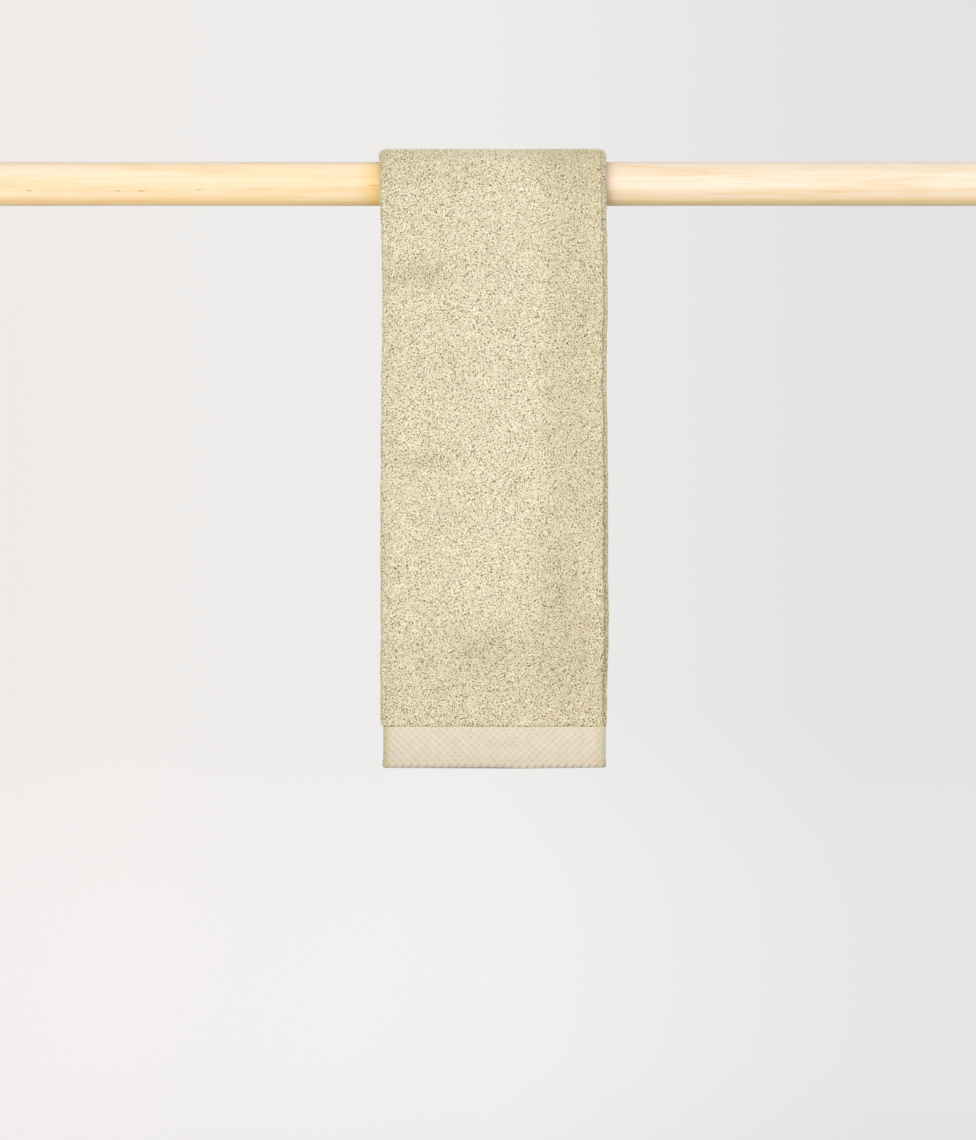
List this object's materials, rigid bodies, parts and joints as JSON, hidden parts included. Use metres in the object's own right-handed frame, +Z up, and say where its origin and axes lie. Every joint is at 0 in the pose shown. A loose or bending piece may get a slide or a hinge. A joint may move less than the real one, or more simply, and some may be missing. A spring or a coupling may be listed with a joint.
{
  "type": "bath towel on a wooden rod",
  "caption": "Terry bath towel folded lengthwise, back and forth, and draped over a round wooden rod, with a flat-woven border at each end.",
  "frame": {"origin": "middle of the rod's left end face", "axes": "+X along the rod, from the left end to the right end as seen from the front, +Z up, and the towel's front faces -Y"},
  "size_m": [1.2, 0.0834, 0.7145],
  "materials": {
    "cotton_terry": "looped cotton pile in pale sage beige, with a smoother, lighter flat-woven border",
    "pine": "planed pine, clear satin coat, fine lengthwise grain"
  },
  "bodies": {
    "root": {"towel": "cotton_terry", "rod": "pine"}
  },
  "joints": []
}
